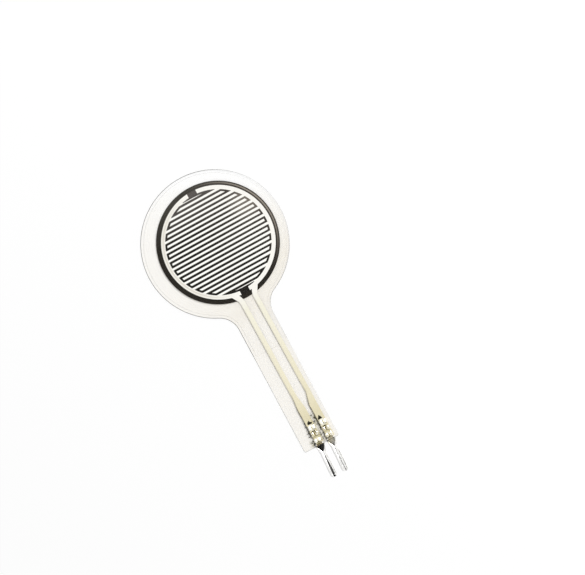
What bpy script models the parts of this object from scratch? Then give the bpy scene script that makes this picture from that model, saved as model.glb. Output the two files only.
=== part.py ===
"""Round force sensing resistor with a tail and two crimped solder contacts.

Two clear films are bonded by a spacer ring. The upper film carries two silver
combs whose fingers interlock, the lower film a disc of carbon ink. At the end
of the tail two tinned contacts pierce the films and curl over them.

Lengths are in metres. The origin is the centre of the round outline on the
rear face. The sensing face looks along +Z and the tail runs along -Y.
"""
import math

import bmesh
import bpy
from mathutils import Matrix
from mathutils import Vector

MM = 0.001

# Outline of the films
DISC_RADIUS = 15.0 * MM
TAIL_WIDTH = 7.8 * MM
TAIL_REACH = 45.6 * MM
NECK_FILLET = 4.4 * MM
END_CORNER = 0.4 * MM

# Thickness of each layer, from the rear face up
LINER_THICKNESS = 0.08 * MM
REAR_ADHESIVE_THICKNESS = 0.07 * MM
CARRIER_THICKNESS = 0.125 * MM
CARBON_THICKNESS = 0.02 * MM
SPACER_THICKNESS = 0.06 * MM
SILVER_THICKNESS = 0.02 * MM
ELECTRODE_FILM_THICKNESS = 0.125 * MM

# Rear adhesive and its liner: smaller than the films all round, and short
REAR_INSET = 0.6 * MM
REAR_REACH = 24.0 * MM

# Spacer's ring around its round opening, and the carbon ink inside it
SPACER_RING_WIDTH = 2.5 * MM
CARBON_SHIFT_X = 0.66 * MM
CARBON_SHIFT_Y = -0.03 * MM
OPENING_CLEARANCE = 0.05 * MM
VENT_WIDTH = 0.4 * MM

# Silver print: it lies a little off and a little turned from the cut outline
PRINT_SHIFT_X = 0.76 * MM
PRINT_SHIFT_Y = -0.02 * MM
PRINT_TURN = math.radians(0.55)
BUS_MARGIN = 0.97 * MM
BUS_WIDTH = 0.83 * MM
BUS_END_GAP = 1.93 * MM
FINGER_PITCH = 0.9 * MM
FINGER_GAP = 0.42 * MM
OUTER_SLIT = 0.12 * MM

# Leads from the half rings to the contact pads
LEAD_WIDTH = 1.0 * MM
LEAD_OFFSET_LEFT = 1.54 * MM
LEAD_OFFSET_RIGHT = 1.43 * MM
LEAD_FLARE_LENGTH = 1.5 * MM
LEAD_FLARE_OUTER = 0.95 * MM
LEAD_FLARE_INNER = 0.45 * MM
PAD_WIDTH = 1.7 * MM
PAD_LEAD_IN = 3.2 * MM
PAD_TAPER = 2.6 * MM
PAD_END_MARGIN = 0.5 * MM
LEAD_CLEARANCE = 0.02 * MM

# Contacts: stamped strip with a crimp plate, a neck and a trough-shaped tab
CONTACT_PITCH = 2.54 * MM
CONTACT_MIDDLE_X = 0.95 * MM
CONTACT_LEAN = math.radians(-2.5)
STOCK_THICKNESS = 0.15 * MM
CRIMP_LENGTH = 5.0 * MM
PLATE_WIDTH = 1.1 * MM
SHOULDER_WIDTH = 1.9 * MM
SHOULDER_LENGTH = 0.25 * MM
NECK_LENGTH = 1.6 * MM
TAB_LENGTH = 5.4 * MM
TAB_WIDTH = 1.2 * MM
TAB_FLAT_AT_NECK = 0.14 * MM
TAB_FLAT_AT_TIP = 0.5 * MM
TAB_RISE = 0.3 * MM
TAB_TIP_LENGTH = 0.45 * MM
TAB_TIP_WIDTH = 0.75 * MM

# Tines: folded up at the plate's edge, through the films, and curled over
TINE_COUNT = 3
TINE_PITCH = 1.42 * MM
TINE_LENGTH = 1.0 * MM
TINE_TIP_LENGTH = 0.5 * MM
TINE_BEND_RADIUS = 0.05 * MM
TINE_CURL_RADIUS = 0.21 * MM
TINE_TIP_CLEARANCE = 0.01 * MM
PIERCE_CLEARANCE = 0.02 * MM

# Part of the half width that stays flat on the crimp plate and at the shoulder
PLATE_FLAT_SHARE = 0.6
SHOULDER_FLAT_SHARE = 0.9

# Fineness of the curves
ARC_STEP = math.radians(3.0)
TIP_STEPS = 3
BEND_STEPS = 4
CURL_STEPS = 9
NECK_STEPS = 6
TROUGH_STEPS = 6
SMOOTH_ANGLE = math.radians(35.0)

# Heights of the faces between the layers
Z_ADHESIVE = LINER_THICKNESS
Z_CARRIER = Z_ADHESIVE + REAR_ADHESIVE_THICKNESS
Z_SPACER = Z_CARRIER + CARRIER_THICKNESS
Z_ELECTRODE_FILM = Z_SPACER + SPACER_THICKNESS
Z_SILVER = Z_ELECTRODE_FILM - SILVER_THICKNESS
Z_TOP = Z_ELECTRODE_FILM + ELECTRODE_FILM_THICKNESS
Z_PLATE = Z_CARRIER - STOCK_THICKNESS

OPENING_RADIUS = DISC_RADIUS - SPACER_RING_WIDTH
CARBON_RADIUS = OPENING_RADIUS - OPENING_CLEARANCE
BUS_OUTER_RADIUS = OPENING_RADIUS - BUS_MARGIN
BUS_INNER_RADIUS = BUS_OUTER_RADIUS - BUS_WIDTH
TIP_RADIUS = BUS_INNER_RADIUS - FINGER_GAP
CRIMP_Y = CRIMP_LENGTH / 2 - TAIL_REACH
TINE_OUTER_X = PLATE_WIDTH / 2 + TINE_BEND_RADIUS + STOCK_THICKNESS

PRINT_TO_FILM = (
    Matrix.Translation((PRINT_SHIFT_X, PRINT_SHIFT_Y, 0.0))
    @ Matrix.Rotation(PRINT_TURN, 4, "Z")
)


def clear_scene():
    for item in list(bpy.data.objects):
        bpy.data.objects.remove(item, do_unlink=True)


def make_material(name, color, roughness, metallic, transmission=0.0):
    material = bpy.data.materials.new(name)
    material.use_nodes = True
    shader = material.node_tree.nodes["Principled BSDF"]
    shader.inputs["Base Color"].default_value = (*color, 1.0)
    shader.inputs["Roughness"].default_value = roughness
    shader.inputs["Metallic"].default_value = metallic
    shader.inputs["Transmission Weight"].default_value = transmission
    return material


def add_object(name, bm, material):
    bmesh.ops.recalc_face_normals(bm, faces=bm.faces)
    mesh = bpy.data.meshes.new(name)
    bm.to_mesh(mesh)
    bm.free()
    mesh.shade_smooth()
    mesh.set_sharp_from_angle(angle=SMOOTH_ANGLE)
    item = bpy.data.objects.new(name, mesh)
    if material is not None:
        mesh.materials.append(material)
    bpy.context.scene.collection.objects.link(item)
    return item


def arc(centre, radius, start, end):
    """Points along an arc, both ends included."""
    steps = max(2, math.ceil(abs(end - start) / ARC_STEP))
    points = []
    for index in range(steps + 1):
        angle = start + (end - start) * index / steps
        x = centre[0] + radius * math.cos(angle)
        y = centre[1] + radius * math.sin(angle)
        points.append((x, y))
    return points


def height_on(radius, x):
    """Height of a circle about the origin above a point of its diameter."""
    return math.sqrt(radius * radius - x * x)


def sheet(name, loops, low, high, material):
    """A flat layer: its outline, then the outlines of its holes."""
    bm = bmesh.new()
    for loop in loops:
        corners = [bm.verts.new((x, y, low)) for x, y in loop]
        for index, corner in enumerate(corners):
            bm.edges.new((corners[index - 1], corner))
    bmesh.ops.triangle_fill(bm, use_beauty=True, use_dissolve=False, edges=bm.edges)
    grown = bmesh.ops.extrude_face_region(bm, geom=bm.faces)
    raised = [item for item in grown["geom"] if isinstance(item, bmesh.types.BMVert)]
    bmesh.ops.translate(bm, vec=(0.0, 0.0, high - low), verts=raised)
    return add_object(name, bm, material)


def cut(item, cutter):
    """Subtract a cutter that stays in the scene as a wire guide."""
    cutter.hide_render = True
    cutter.display_type = "WIRE"
    modifier = item.modifiers.new(cutter.name, "BOOLEAN")
    modifier.operation = "DIFFERENCE"
    modifier.solver = "EXACT"
    modifier.object = cutter


def lollipop(inset, reach, corner):
    """Outline of the disc and its tail, counter-clockwise from the tail's end."""
    radius = DISC_RADIUS - inset
    half = TAIL_WIDTH / 2 - inset
    fillet = NECK_FILLET + inset
    centre_x = half + fillet
    centre_y = -math.sqrt((radius + fillet) ** 2 - centre_x ** 2)
    tangent = math.atan2(-centre_y, -centre_x)
    end = -reach
    points = arc((half - corner, end + corner), corner, -math.pi / 2, 0.0)
    points += arc((centre_x, centre_y), fillet, math.pi, tangent)
    sweep_start = tangent - math.pi
    points += arc((0.0, 0.0), radius, sweep_start, math.pi - sweep_start)[1:]
    points += arc((-centre_x, centre_y), fillet, math.pi - tangent, 0.0)[1:]
    points += arc((corner - half, end + corner), corner, math.pi, 1.5 * math.pi)
    return points


def spacer_outline():
    """The same outline, opened by the vent into the round sensing chamber."""
    half = VENT_WIDTH / 2
    left = CONTACT_MIDDLE_X - half
    right = CONTACT_MIDDLE_X + half
    drop_left = height_on(OPENING_RADIUS, left - CARBON_SHIFT_X)
    drop_right = height_on(OPENING_RADIUS, right - CARBON_SHIFT_X)
    start = math.atan2(-drop_left, left - CARBON_SHIFT_X)
    end = math.atan2(-drop_right, right - CARBON_SHIFT_X) - 2 * math.pi
    chamber = arc((CARBON_SHIFT_X, CARBON_SHIFT_Y), OPENING_RADIUS, start, end)
    points = lollipop(0.0, TAIL_REACH, END_CORNER)
    return points + [(left, -TAIL_REACH)] + chamber + [(right, -TAIL_REACH)]


def pad_centre(side):
    """Place of a contact's crimp in the print's own frame, mirrored to +X."""
    crimp = Vector((CONTACT_MIDDLE_X + side * CONTACT_PITCH / 2, CRIMP_Y, 0.0))
    return side * (PRINT_TO_FILM.inverted() @ crimp).x


def lead_edges(side, margin):
    """Inner and outer edge of a lead from its half ring to the end of its pad."""
    offset = LEAD_OFFSET_LEFT if side < 0 else LEAD_OFFSET_RIGHT
    pad = pad_centre(side)
    half_lead = LEAD_WIDTH / 2 + margin
    half_pad = PAD_WIDTH / 2 + margin
    flare_top = -BUS_OUTER_RADIUS
    flare_end = flare_top - LEAD_FLARE_LENGTH
    pad_start = CRIMP_Y + CRIMP_LENGTH / 2 + PAD_LEAD_IN
    taper_start = pad_start + PAD_TAPER
    pad_end = PAD_END_MARGIN - TAIL_REACH - margin
    inner = []
    outer = []
    for index in range(TIP_STEPS + 1):
        share = index / TIP_STEPS
        ease = (1.0 - share) ** 2
        y = flare_top + (flare_end - flare_top) * share
        inner.append((offset - half_lead + LEAD_FLARE_INNER * ease, y))
        outer.append((offset + half_lead + LEAD_FLARE_OUTER * ease, y))
    inner.append((offset - half_lead, taper_start))
    outer.append((offset + half_lead, taper_start))
    inner.append((pad - half_pad, pad_start))
    outer.append((pad + half_pad, pad_start))
    inner.append((pad - half_pad, pad_end))
    outer.append((pad + half_pad, pad_end))
    return inner, outer


def finger_rows(side):
    """Lower and upper edge of each finger that springs from this half ring."""
    last = math.floor(TIP_RADIUS / FINGER_PITCH)
    rows = []
    for index in range(-last - 1, last + 1):
        if (index % 2 == 0) != (side > 0):
            continue
        low = max(index * FINGER_PITCH + FINGER_GAP / 2, -TIP_RADIUS)
        high = min((index + 1) * FINGER_PITCH - FINGER_GAP / 2, TIP_RADIUS)
        if high - low > FINGER_GAP / 4:
            rows.append((low, high))
    return rows


def tip_curve(low, high):
    """Free end of a finger, cut along the gap beside the other half ring."""
    points = []
    for index in range(TIP_STEPS + 1):
        y = low + (high - low) * index / TIP_STEPS
        points.append((-height_on(TIP_RADIUS, y), y))
    return points


def comb_outline(side):
    """Half ring, fingers, lead and pad as one outline, mirrored for the left."""
    gap = BUS_END_GAP / 2
    slit_x = height_on(BUS_INNER_RADIUS, TIP_RADIUS + OUTER_SLIT)
    slit_y = height_on(BUS_INNER_RADIUS, slit_x)
    inner_start = math.atan2(-height_on(BUS_INNER_RADIUS, gap), gap)
    angle = inner_start
    points = []
    for low, high in finger_rows(side):
        if low <= -TIP_RADIUS:
            reach = math.atan2(-slit_y, slit_x)
            points += arc((0.0, 0.0), BUS_INNER_RADIUS, angle, reach)
            points.append((slit_x, low))
        else:
            root = math.asin(low / BUS_INNER_RADIUS)
            points += arc((0.0, 0.0), BUS_INNER_RADIUS, angle, root)
        points += tip_curve(low, high)
        if high >= TIP_RADIUS:
            points.append((slit_x, high))
            angle = math.atan2(slit_y, slit_x)
        else:
            angle = math.asin(high / BUS_INNER_RADIUS)
    points += arc((0.0, 0.0), BUS_INNER_RADIUS, angle, -inner_start)
    inner, outer = lead_edges(side, 0.0)
    ring_end = math.atan2(height_on(BUS_OUTER_RADIUS, gap), gap)
    foot_x = outer[0][0]
    ring_foot = math.atan2(-height_on(BUS_OUTER_RADIUS, foot_x), foot_x)
    points += arc((0.0, 0.0), BUS_OUTER_RADIUS, ring_end, ring_foot)
    points += outer[1:]
    points += reversed(inner[1:])
    branch_x = inner[0][0]
    branch = math.atan2(-height_on(BUS_OUTER_RADIUS, branch_x), branch_x)
    points += arc((0.0, 0.0), BUS_OUTER_RADIUS, branch, -ring_end)
    return to_film(points, side)


def groove_outline(side):
    """Room for a lead in the spacer, from inside the chamber to its pad."""
    inner, outer = lead_edges(side, LEAD_CLEARANCE)
    return to_film(outer + inner[::-1], side)


def to_film(points, side):
    """From the print's frame, mirrored for the left half, to the films'."""
    placed = []
    for x, y in points:
        point = PRINT_TO_FILM @ Vector((side * x, y, 0.0))
        placed.append((point.x, point.y))
    return placed


def contact_frame(side):
    """Where a contact's crimp plate lies: its middle, on its rear face."""
    x = CONTACT_MIDDLE_X + side * CONTACT_PITCH / 2
    place = Matrix.Translation((x, CRIMP_Y, Z_PLATE))
    return place @ Matrix.Rotation(CONTACT_LEAN, 4, "Z")


def tine_rows():
    """Positions of the tines along the crimp plate."""
    middle = (TINE_COUNT - 1) / 2
    return [(index - middle) * TINE_PITCH for index in range(TINE_COUNT)]


def pierce_loops():
    """Slots that the tines open in the films."""
    near = PLATE_WIDTH / 2 - PIERCE_CLEARANCE
    far = TINE_OUTER_X + PIERCE_CLEARANCE
    half = TINE_LENGTH / 2 + PIERCE_CLEARANCE
    loops = []
    for side in (-1, 1):
        frame = contact_frame(side)
        for row in tine_rows():
            for edge in (-1, 1):
                corners = [
                    (edge * near, row - half),
                    (edge * far, row - half),
                    (edge * far, row + half),
                    (edge * near, row + half),
                ]
                placed = [frame @ Vector((x, y, 0.0)) for x, y in corners]
                loops.append([(point.x, point.y) for point in placed])
    return loops


def section(half_width, flat_half, rise):
    """Rear and upper side of the strip across its width: flat, then rising."""
    rear = []
    upper = []
    for index in range(-TROUGH_STEPS - 1, TROUGH_STEPS + 2):
        sign = -1.0 if index < 0 else 1.0
        if index == 0:
            run = 0.0
            x = 0.0
        else:
            run = (abs(index) - 1) / TROUGH_STEPS
            x = flat_half + (half_width - flat_half) * run
        slope = 2.0 * rise * run / (half_width - flat_half)
        length = math.hypot(slope, 1.0)
        z = rise * run * run
        rear.append((sign * x, z))
        upper_x = sign * (x - STOCK_THICKNESS * slope / length)
        upper.append((upper_x, z + STOCK_THICKNESS / length))
    return rear, upper


def contact_stations():
    """Width, flat and rise of the strip at each place along it."""
    plate = PLATE_WIDTH / 2
    shoulder = SHOULDER_WIDTH / 2
    tab = TAB_WIDTH / 2
    flat = TAB_FLAT_AT_NECK / 2
    tip_flat = TAB_FLAT_AT_TIP / 2
    film_end = -CRIMP_LENGTH / 2
    places = {CRIMP_LENGTH / 2, film_end + SHOULDER_LENGTH}
    for row in tine_rows():
        places.add(row - TINE_LENGTH / 2)
        places.add(row + TINE_LENGTH / 2)
    plate_flat = PLATE_FLAT_SHARE * plate
    stations = [(y, plate, plate_flat, 0.0) for y in sorted(places, reverse=True)]
    shoulder_flat = SHOULDER_FLAT_SHARE * shoulder
    for index in range(NECK_STEPS + 1):
        share = index / NECK_STEPS
        width = shoulder + (tab - shoulder) * share
        flat_here = shoulder_flat + (flat - shoulder_flat) * share
        y = film_end - NECK_LENGTH * share
        stations.append((y, width, flat_here, TAB_RISE * share))
    tab_end = film_end - NECK_LENGTH - TAB_LENGTH
    stations.append((tab_end + TAB_TIP_LENGTH, tab, tip_flat, TAB_RISE))
    tip_half = TAB_TIP_WIDTH / 2
    tip_rise = TAB_RISE * ((tip_half - tip_flat) / (tab - tip_flat)) ** 2
    stations.append((tab_end, tip_half, tip_flat, tip_rise))
    return stations


def tine_path():
    """Outer and inner side of a tine, from the plate's edge to its tip."""
    edge = PLATE_WIDTH / 2
    path = []
    bend_z = STOCK_THICKNESS + TINE_BEND_RADIUS
    for index in range(1, BEND_STEPS + 1):
        angle = math.pi / 2 * index / BEND_STEPS
        across = math.sin(angle)
        down = math.cos(angle)
        thick = TINE_BEND_RADIUS + STOCK_THICKNESS
        outside = (edge + thick * across, bend_z - thick * down)
        inside = (edge + TINE_BEND_RADIUS * across, bend_z - TINE_BEND_RADIUS * down)
        path.append((outside, inside, TINE_LENGTH / 2))
    curl_z = Z_TOP - Z_PLATE + TINE_TIP_CLEARANCE
    curl_x = edge + TINE_BEND_RADIUS - TINE_CURL_RADIUS
    thick = TINE_CURL_RADIUS + STOCK_THICKNESS
    for index in range(CURL_STEPS + 1):
        share = index / CURL_STEPS
        along = math.cos(math.pi * share)
        up = math.sin(math.pi * share)
        outside = (curl_x + thick * along, curl_z + thick * up)
        inside = (curl_x + TINE_CURL_RADIUS * along, curl_z + TINE_CURL_RADIUS * up)
        half = (TINE_LENGTH + (TINE_TIP_LENGTH - TINE_LENGTH) * share) / 2
        path.append((outside, inside, half))
    return path


def join_rings(bm, first, second, skipped=()):
    """Faces between two closed rings of corners."""
    count = len(first)
    for index in range(count):
        if index in skipped:
            continue
        following = (index + 1) % count
        corners = (first[index], first[following], second[following], second[index])
        bm.faces.new(corners)


def grow_tine(bm, root, edge, row):
    """Fold a tine up from the plate's edge and curl its point over the film."""
    ring = root
    for outside, inside, half in tine_path():
        corners = [
            (edge * outside[0], row + half, outside[1]),
            (edge * outside[0], row - half, outside[1]),
            (edge * inside[0], row - half, inside[1]),
            (edge * inside[0], row + half, inside[1]),
        ]
        following = [bm.verts.new(corner) for corner in corners]
        join_rings(bm, ring, following)
        ring = following
    bm.faces.new(ring)


def build_contact(name, side, material):
    """One stamped and folded strip, with its tines grown from its edges."""
    bm = bmesh.new()
    rings = []
    stations = contact_stations()
    for y, half_width, flat_half, rise in stations:
        rear, upper = section(half_width, flat_half, rise)
        outline = rear + upper[::-1]
        rings.append([bm.verts.new((x, y, z)) for x, z in outline])
    right = len(rings[0]) // 2 - 1
    left = len(rings[0]) - 1
    bm.faces.new(rings[0])
    bm.faces.new(rings[-1])
    for index in range(len(rings) - 1):
        first = rings[index]
        second = rings[index + 1]
        middle = (stations[index][0] + stations[index + 1][0]) / 2
        rows = [row for row in tine_rows() if abs(row - middle) < TINE_LENGTH / 4]
        join_rings(bm, first, second, (left, right) if rows else ())
        for row in rows:
            root = [first[right], second[right], second[right + 1], first[right + 1]]
            grow_tine(bm, root, 1.0, row)
            root = [first[0], second[0], second[left], first[left]]
            grow_tine(bm, root, -1.0, row)
    item = add_object(name, bm, material)
    item.matrix_world = contact_frame(side)
    return item


def build():
    clear_scene()
    film = lollipop(0.0, TAIL_REACH, END_CORNER)
    pad = lollipop(REAR_INSET, REAR_REACH, END_CORNER)
    slots = pierce_loops()
    carbon_centre = (CARBON_SHIFT_X, CARBON_SHIFT_Y)
    carbon = arc(carbon_centre, CARBON_RADIUS, 0.0, 2 * math.pi)[:-1]

    liner_look = make_material("liner_clear", (0.93, 0.93, 0.91), 0.35, 0.0, 0.7)
    adhesive_look = make_material("rear_adhesive_clear", (0.93, 0.91, 0.86), 0.3, 0.0, 0.7)
    carrier_look = make_material("carrier_film_clear", (0.95, 0.94, 0.91), 0.12, 0.0, 0.9)
    carbon_look = make_material("carbon_ink_black", (0.02, 0.019, 0.018), 0.55, 0.0)
    spacer_look = make_material("spacer_adhesive_clear", (0.94, 0.92, 0.86), 0.3, 0.0, 0.7)
    silver_look = make_material("silver_ink_left", (0.87, 0.84, 0.76), 0.5, 0.6)
    silver_look_right = make_material("silver_ink_right", (0.87, 0.84, 0.76), 0.5, 0.6)
    film_look = make_material("electrode_film_clear", (0.96, 0.95, 0.92), 0.1, 0.0, 0.9)
    tin_look = make_material("tinned_contact_left", (0.78, 0.77, 0.74), 0.22, 1.0)
    tin_look_right = make_material("tinned_contact_right", (0.78, 0.77, 0.74), 0.22, 1.0)

    sheet("release_liner", [pad], 0.0, Z_ADHESIVE, liner_look)
    sheet("rear_adhesive", [pad], Z_ADHESIVE, Z_CARRIER, adhesive_look)
    sheet("carrier_film", [film] + slots, Z_CARRIER, Z_SPACER, carrier_look)
    sheet("carbon_ink_disc", [carbon], Z_SPACER, Z_SPACER + CARBON_THICKNESS, carbon_look)
    spacer_loops = [spacer_outline()] + slots
    spacer = sheet("spacer_adhesive", spacer_loops, Z_SPACER, Z_ELECTRODE_FILM, spacer_look)
    sheet("electrode_film", [film] + slots, Z_ELECTRODE_FILM, Z_TOP, film_look)

    pierce = sheet("pierce_guide", slots, Z_CARRIER, Z_TOP, None)
    room_top = Z_ELECTRODE_FILM + SILVER_THICKNESS
    halves = (
        ("silver_electrode_left", -1, silver_look, "lead_room_left"),
        ("silver_electrode_right", 1, silver_look_right, "lead_room_right"),
    )
    for name, side, look, room_name in halves:
        electrode = sheet(name, [comb_outline(side)], Z_SILVER, Z_ELECTRODE_FILM, look)
        cut(electrode, pierce)
        room = sheet(room_name, [groove_outline(side)], Z_SILVER, room_top, None)
        cut(spacer, room)

    build_contact("contact_left", -1, tin_look)
    build_contact("contact_right", 1, tin_look_right)


build()
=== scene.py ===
# %% [markdown]
# # A round force sensing resistor
#
# This lesson dresses a finished model of a film sensor. The real thing is a
# sandwich under half a millimetre thick: clear film, silver print, a spacer
# ring, black carbon and another clear film. The model already holds each layer
# at its true height, so the work here is mostly in materials and light.
#
# The first cell loads the model.

import math

import bmesh
import bpy
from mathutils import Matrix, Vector


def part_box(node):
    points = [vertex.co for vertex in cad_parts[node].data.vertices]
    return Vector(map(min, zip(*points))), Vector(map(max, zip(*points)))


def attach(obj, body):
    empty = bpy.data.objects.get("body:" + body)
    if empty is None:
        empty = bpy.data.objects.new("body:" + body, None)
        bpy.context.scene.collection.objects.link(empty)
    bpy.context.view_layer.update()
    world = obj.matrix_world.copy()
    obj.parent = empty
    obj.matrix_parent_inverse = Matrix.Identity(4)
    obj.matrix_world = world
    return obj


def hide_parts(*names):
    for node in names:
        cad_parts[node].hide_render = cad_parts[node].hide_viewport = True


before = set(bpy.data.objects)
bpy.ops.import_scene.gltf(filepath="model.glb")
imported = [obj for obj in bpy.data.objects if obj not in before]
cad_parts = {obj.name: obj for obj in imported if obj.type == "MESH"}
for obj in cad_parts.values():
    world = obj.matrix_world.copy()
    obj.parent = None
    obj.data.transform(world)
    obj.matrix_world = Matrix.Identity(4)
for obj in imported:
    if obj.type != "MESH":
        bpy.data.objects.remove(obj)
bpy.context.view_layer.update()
scene = bpy.context.scene
MM = 0.001
print("nodes:", ", ".join(sorted(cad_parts)))

# %% [markdown]
# ## The camera
#
# The sensor was photographed from straight above, with its tail running down
# to the right. A wide lens would show the sides of the contacts, so a long lens
# far away is the better choice. Here the frame is set by the width that it
# covers at the height of the floor.

# %% Camera straight above, long lens
FRAME_WIDTH = 117.64 * MM
CAMERA_HEIGHT = 800.0 * MM
VIEW_END = 5000.0 * MM
SENSOR_WIDTH = 36.0
AIM = Vector((9.6 * MM, -15.07 * MM, 0.0))
CAMERA_ROLL = math.radians(-28.14)

lens = bpy.data.cameras.new("camera")
lens.sensor_width = SENSOR_WIDTH
lens.lens = SENSOR_WIDTH * CAMERA_HEIGHT / FRAME_WIDTH
lens.clip_end = VIEW_END
camera = bpy.data.objects.new("camera", lens)
camera.location = AIM + Vector((0.0, 0.0, CAMERA_HEIGHT))
camera.rotation_euler = (0.0, 0.0, CAMERA_ROLL)
scene.collection.objects.link(camera)
scene.camera = camera
print("lens in mm:", round(lens.lens, 1))

# %% [markdown]
# ## The lamp
#
# One lamp from the right gives each printed lead the thin dark line along its
# left edge, and the metal its shadow. It is a round area lamp, because a point
# lamp would draw that shadow with a hard edge.

# %% One lamp from the right
LAMP_SIDE = math.radians(18.9)
LAMP_RISE = math.radians(56.0)
LAMP_DISTANCE = 1500.0 * MM
LAMP_WIDTH = 250.0 * MM
LAMP_WATTS = 13.4


def level_direction(angle):
    return Vector((math.cos(angle), math.sin(angle), 0.0))


lamp = bpy.data.lights.new("key_lamp", "AREA")
lamp.shape = "DISK"
lamp.size = LAMP_WIDTH
lamp.energy = LAMP_WATTS
key = bpy.data.objects.new("key_lamp", lamp)
reach = level_direction(LAMP_SIDE) * math.cos(LAMP_RISE) + Vector((0.0, 0.0, math.sin(LAMP_RISE)))
key.location = AIM + LAMP_DISTANCE * reach
key.rotation_euler = reach.to_track_quat("Z", "Y").to_euler()
scene.collection.objects.link(key)
print("lamp at", [round(value, 3) for value in key.location])

# %% [markdown]
# ## Helpers for nodes
#
# The sky and all materials are made of nodes, and a few small helpers keep that
# code short enough to read. One plugs a number, a colour or another node's
# output into an input. The other makes a node and plugs its inputs by name, or
# by number where a node has several inputs of one name: i0 is the first.

# %% Make a node and plug its inputs
def plug(tree, socket, value):
    if isinstance(value, bpy.types.NodeSocket):
        tree.links.new(value, socket)
    elif socket.type == "RGBA":
        socket.default_value = (*value, 1.0)
    else:
        socket.default_value = value


def add_node(tree, kind, settings=None, **inputs):
    node = tree.nodes.new("ShaderNode" + kind)
    for label, value in (settings or {}).items():
        setattr(node, label, value)
    for label, value in inputs.items():
        is_number = label[0] == "i" and label[1:].isdigit()
        plug(tree, node.inputs[int(label[1:]) if is_number else label.replace("_", " ")], value)
    return node


print("first helpers ready: plug and add_node")

# %% [markdown]
# ## Sums, fades and noise
#
# Most looks come from a few kinds of sum. A fade turns a place or a value into
# a share between 0 and 1, a band gives 1 between two values and 0 outside them,
# and noise breaks up what would look too even. Each helper gives the output
# that the next node needs, so they can be nested. Where a fade or a band has a
# name below, it holds the numbers in the order in which the helper takes them.

# %% Helpers for sums, fades and noise
def math_node(tree, operation, first, second=0.0, clamp=False):
    settings = {"operation": operation, "use_clamp": clamp}
    return add_node(tree, "Math", settings, i0=first, i1=second).outputs[0]


def total(tree, first, *others):
    for other in others:
        first = math_node(tree, "ADD", first, other)
    return first


def product(tree, first, *others):
    for other in others:
        first = math_node(tree, "MULTIPLY", first, other)
    return first


def minus(tree, first, second):
    return math_node(tree, "SUBTRACT", first, second)


def away_from(tree, value, middle):
    return math_node(tree, "ABSOLUTE", minus(tree, value, middle))


def fade(tree, value, start, stop, low=0.0, high=1.0, smooth=False):
    settings = {"interpolation_type": "SMOOTHSTEP" if smooth else "LINEAR"}
    ends = {"From_Min": start, "From_Max": stop, "To_Min": low, "To_Max": high}
    return add_node(tree, "MapRange", settings, Value=value, **ends).outputs[0]


def band(tree, value, low, high, soft):
    rise = fade(tree, value, low - soft, low + soft)
    return product(tree, rise, fade(tree, value, high + soft, high - soft))


def vector_node(tree, operation, first, second=(0.0, 0.0, 0.0)):
    return add_node(tree, "VectorMath", {"operation": operation}, i0=first, i1=second).outputs


def object_spot(tree):
    return add_node(tree, "TexCoord").outputs["Object"]


def axes(tree, vector):
    return add_node(tree, "SeparateXYZ", i0=vector).outputs


def noise(tree, spot, scale, detail, roughness=0.5):
    return add_node(tree, "TexNoise", Vector=spot, Scale=scale, Detail=detail, Roughness=roughness).outputs[0]


def mix_values(tree, share, first, second):
    return add_node(tree, "Mix", {"data_type": "FLOAT"}, i0=share, i2=first, i3=second).outputs[0]


def mix_colors(tree, share, first, second):
    return add_node(tree, "Mix", {"data_type": "RGBA"}, i0=share, i6=first, i7=second).outputs[2]


print("helpers ready for sums, fades, noise and mixes")

# %% [markdown]
# ## The sky
#
# The rest of the light is a soft white sky. What the camera and mirrors see of
# it is fully white, as the photograph's background is. As light it is only half
# as strong, or the lamp's shadows would be washed out.

# %% White sky
SKY_LIGHT = 0.5
SKY_SEEN = 1.0
WHITE = (1.0, 1.0, 1.0)

world = bpy.data.worlds.new("white_sky")
world.use_nodes = True
scene.world = world
tree = world.node_tree
rays = add_node(tree, "LightPath").outputs
seen = math_node(tree, "MAXIMUM", rays["Is Camera Ray"], rays["Is Glossy Ray"])
background = tree.nodes["Background"]
plug(tree, background.inputs["Strength"], fade(tree, seen, 0.0, 1.0, SKY_LIGHT, SKY_SEEN))
plug(tree, background.inputs["Color"], WHITE)
print("sky lights with", SKY_LIGHT, "and is seen with", SKY_SEEN)

# %% [markdown]
# ## A dark card
#
# Clear film mirrors what is straight above it. A dark card there keeps the
# carbon black and gives the flat metal its black faces, while sloping metal
# still finds the white sky. The card is only for mirrors: it takes no light
# from the scene, casts no shadow, and the camera looks through it.

# %% Dark card over the sensor
CARD_RADIUS = 260.0 * MM
CARD_HEIGHT = 950.0 * MM
CARD_SIDES = 48
CARD_BLACK = (0.01, 0.01, 0.01)


def new_material(name):
    material = bpy.data.materials.new(name)
    material.use_nodes = True
    return material, material.node_tree, material.node_tree.nodes["Principled BSDF"]


def thing_from(shape, name):
    mesh = bpy.data.meshes.new(name)
    shape.to_mesh(mesh)
    shape.free()
    thing = bpy.data.objects.new(name, mesh)
    scene.collection.objects.link(thing)
    return thing


disc = bmesh.new()
bmesh.ops.create_circle(disc, cap_ends=True, segments=CARD_SIDES, radius=CARD_RADIUS)
bmesh.ops.translate(disc, vec=AIM + Vector((0.0, 0.0, CARD_HEIGHT)), verts=disc.verts)
card = thing_from(disc, "dark_card")
card.visible_camera = False
card.visible_shadow = False
card.visible_diffuse = False
black_paint, tree, shader = new_material("dark_card_paint")
plug(tree, shader.inputs["Base Color"], CARD_BLACK)
plug(tree, shader.inputs["Roughness"], 1.0)
card.data.materials.append(black_paint)
print("dark card", round(2 * CARD_RADIUS / MM), "mm wide,", round(CARD_HEIGHT / MM), "mm up")

# %% [markdown]
# ## Helpers for groups
#
# Some effects serve several materials, such as the look of a cut edge or a
# smudge that runs on from film to metal. Each of them is a node group: it is
# drawn once, and each material places it like a single node.

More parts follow.
